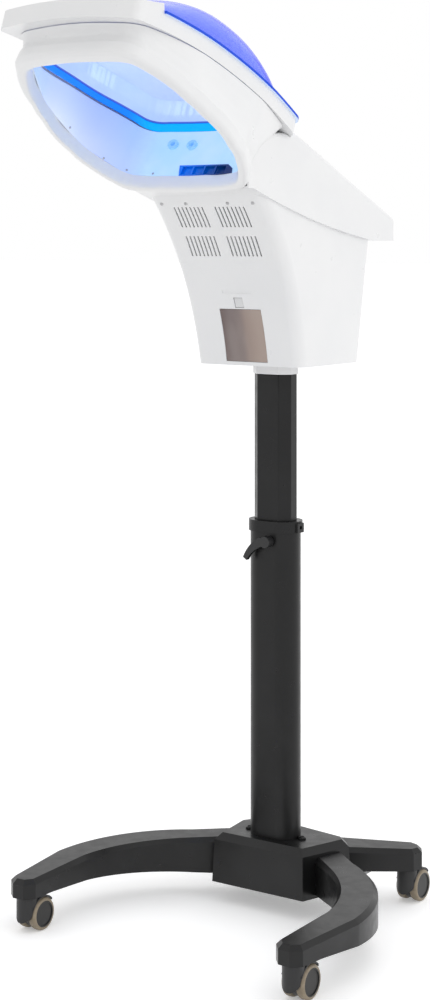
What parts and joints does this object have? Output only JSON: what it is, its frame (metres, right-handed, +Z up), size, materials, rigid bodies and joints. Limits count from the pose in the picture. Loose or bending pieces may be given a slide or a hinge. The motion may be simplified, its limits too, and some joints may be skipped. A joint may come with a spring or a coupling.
{
  "type": "hood hair dryer",
  "caption": "Salon hood dryer on a rolling telescopic stand, with a hinged clear dome over an open hood, a vented head with a water tank, and curved legs on casters.",
  "frame": {"origin": "on the floor under the middle of the whole machine's bounding box", "axes": "+Z up, the client sits on the -Y side, +X to the client's left when seated with the back to the column"},
  "size_m": [0.5638, 0.7595, 1.4198],
  "materials": {
    "white_shell": "satin gloss white",
    "white_coat": "white coat",
    "clear_blue": "clear tinted",
    "smoke_plastic": "smoky clear",
    "hood_lining": "pale gloss",
    "dark_blue": "dark blue",
    "grey_plastic": "light grey",
    "black_plastic": "matte black",
    "wheel_core": "satin black",
    "tread_rubber": "taupe rubber",
    "black_casting": "satin black coat",
    "black_tube": "satin black coat",
    "steel": "brushed",
    "aluminium": "plain"
  },
  "bodies": {
    "base": {"base_hub": "black_casting", "leg_front_left": "black_casting", "leg_front_right": "black_casting", "leg_rear_left": "black_casting", "leg_rear_right": "black_casting", "column_bolts": "steel", "outer_column": "black_tube", "column_collar": "black_tube", "guide_bush": "black_plastic"},
    "head": {"inner_column": "black_tube", "neck_bracket": "white_coat", "lower_housing": "white_shell", "panel_screws": "steel", "bottom_plate": "white_shell", "rear_cover": "white_shell", "hinge_pins": "steel", "hood_shell": "white_shell", "hood_rim": "white_shell", "hood_liner": "hood_lining", "boiler": "steel", "equipment_shelf": "aluminium", "fan_housing": "black_plastic", "heater": "aluminium", "steam_nozzles": "hood_lining", "outlet_grille": "dark_blue", "control_board": "black_plastic", "power_inlet": "black_plastic"},
    "lever": {"clamp_lever": "black_plastic"},
    "visor": {"visor_frame": "white_shell", "visor_dome": "clear_blue"},
    "tank": {"water_tank": "smoke_plastic"},
    "latch": {"tank_latch": "grey_plastic"},
    "knob": {"timer_knob": "grey_plastic"},
    "button": {"start_button": "grey_plastic"},
    "rocker": {"power_switch": "black_plastic"},
    "fan": {"fan_impeller": "black_plastic"},
    "caster_front_left": {"caster_front_left": "black_plastic", "axle_front_left": "steel"},
    "wheel_front_left_left": {"wheel_front_left_left": "wheel_core", "tread_front_left_left": "tread_rubber"},
    "wheel_front_left_right": {"wheel_front_left_right": "wheel_core", "tread_front_left_right": "tread_rubber"},
    "caster_front_right": {"caster_front_right": "black_plastic", "axle_front_right": "steel"},
    "wheel_front_right_left": {"wheel_front_right_left": "wheel_core", "tread_front_right_left": "tread_rubber"},
    "wheel_front_right_right": {"wheel_front_right_right": "wheel_core", "tread_front_right_right": "tread_rubber"},
    "caster_rear_left": {"caster_rear_left": "black_plastic", "axle_rear_left": "steel"},
    "wheel_rear_left_left": {"wheel_rear_left_left": "wheel_core", "tread_rear_left_left": "tread_rubber"},
    "wheel_rear_left_right": {"wheel_rear_left_right": "wheel_core", "tread_rear_left_right": "tread_rubber"},
    "caster_rear_right": {"caster_rear_right": "black_plastic", "axle_rear_right": "steel"},
    "wheel_rear_right_left": {"wheel_rear_right_left": "wheel_core", "tread_rear_right_left": "tread_rubber"},
    "wheel_rear_right_right": {"wheel_rear_right_right": "wheel_core", "tread_rear_right_right": "tread_rubber"}
  },
  "joints": [
    {"name": "column_height", "type": "slide", "parent": "base", "child": "head", "axis": [0, 0, 1], "range_m": [-0.23, 0.1]},
    {"name": "clamp_turn", "type": "hinge", "parent": "base", "child": "lever", "pos_m": [0.006, 0.13696, 0.587], "axis": [0, -1, 0], "range_deg": [-60, 120]},
    {"name": "visor_hinge", "type": "hinge", "parent": "head", "child": "visor", "pos_m": [0, 0.06696, 1.249], "axis": [-1, 0, 0], "range_deg": [0, 50]},
    {"name": "tank_slide", "type": "slide", "parent": "head", "child": "tank", "axis": [0, -1, 0], "range_m": [0, 0.085]},
    {"name": "latch_press", "type": "slide", "parent": "head", "child": "latch", "axis": [0, 1, 0], "range_m": [0, 0.003], "stiffness_N_per_m": 400, "springref_m": -0.002},
    {"name": "timer_turn", "type": "hinge", "parent": "head", "child": "knob", "pos_m": [-0.042, 0.23496, 1.15827], "axis": [0, 0.3885, 0.9215], "range_deg": [-300, 0]},
    {"name": "start_press", "type": "slide", "parent": "head", "child": "button", "axis": [0, -0.3885, -0.9215], "range_m": [0, 0.002], "stiffness_N_per_m": 300, "springref_m": -0.003},
    {"name": "power_rock", "type": "hinge", "parent": "head", "child": "rocker", "pos_m": [0.052, 0.23418, 1.15643], "axis": [1, 0, 0], "range_deg": [-5, 5]},
    {"name": "fan_spin", "type": "hinge", "parent": "head", "child": "fan", "pos_m": [0, 0.18696, 1], "axis": [0, 0, 1], "continuous": true},
    {"name": "swivel_front_left", "type": "hinge", "parent": "base", "child": "caster_front_left", "pos_m": [-0.244, -0.16504, 0.04], "axis": [0, 0, 1], "continuous": true},
    {"name": "roll_front_left_left", "type": "hinge", "parent": "caster_front_left", "child": "wheel_front_left_left", "pos_m": [-0.244, -0.14504, 0.025], "axis": [1, 0, 0], "continuous": true},
    {"name": "roll_front_left_right", "type": "hinge", "parent": "caster_front_left", "child": "wheel_front_left_right", "pos_m": [-0.244, -0.14504, 0.025], "axis": [1, 0, 0], "continuous": true},
    {"name": "swivel_front_right", "type": "hinge", "parent": "base", "child": "caster_front_right", "pos_m": [0.244, -0.16504, 0.04], "axis": [0, 0, 1], "continuous": true},
    {"name": "roll_front_right_left", "type": "hinge", "parent": "caster_front_right", "child": "wheel_front_right_left", "pos_m": [0.244, -0.14504, 0.025], "axis": [1, 0, 0], "continuous": true},
    {"name": "roll_front_right_right", "type": "hinge", "parent": "caster_front_right", "child": "wheel_front_right_right", "pos_m": [0.244, -0.14504, 0.025], "axis": [1, 0, 0], "continuous": true},
    {"name": "swivel_rear_left", "type": "hinge", "parent": "base", "child": "caster_rear_left", "pos_m": [-0.12778, 0.33475, 0.04], "axis": [0, 0, 1], "continuous": true},
    {"name": "roll_rear_left_left", "type": "hinge", "parent": "caster_rear_left", "child": "wheel_rear_left_left", "pos_m": [-0.12778, 0.35475, 0.025], "axis": [1, 0, 0], "continuous": true},
    {"name": "roll_rear_left_right", "type": "hinge", "parent": "caster_rear_left", "child": "wheel_rear_left_right", "pos_m": [-0.12778, 0.35475, 0.025], "axis": [1, 0, 0], "continuous": true},
    {"name": "swivel_rear_right", "type": "hinge", "parent": "base", "child": "caster_rear_right", "pos_m": [0.174, 0.28696, 0.04], "axis": [0, 0, 1], "continuous": true},
    {"name": "roll_rear_right_left", "type": "hinge", "parent": "caster_rear_right", "child": "wheel_rear_right_left", "pos_m": [0.174, 0.30696, 0.025], "axis": [1, 0, 0], "continuous": true},
    {"name": "roll_rear_right_right", "type": "hinge", "parent": "caster_rear_right", "child": "wheel_rear_right_right", "pos_m": [0.174, 0.30696, 0.025], "axis": [1, 0, 0], "continuous": true}
  ]
}
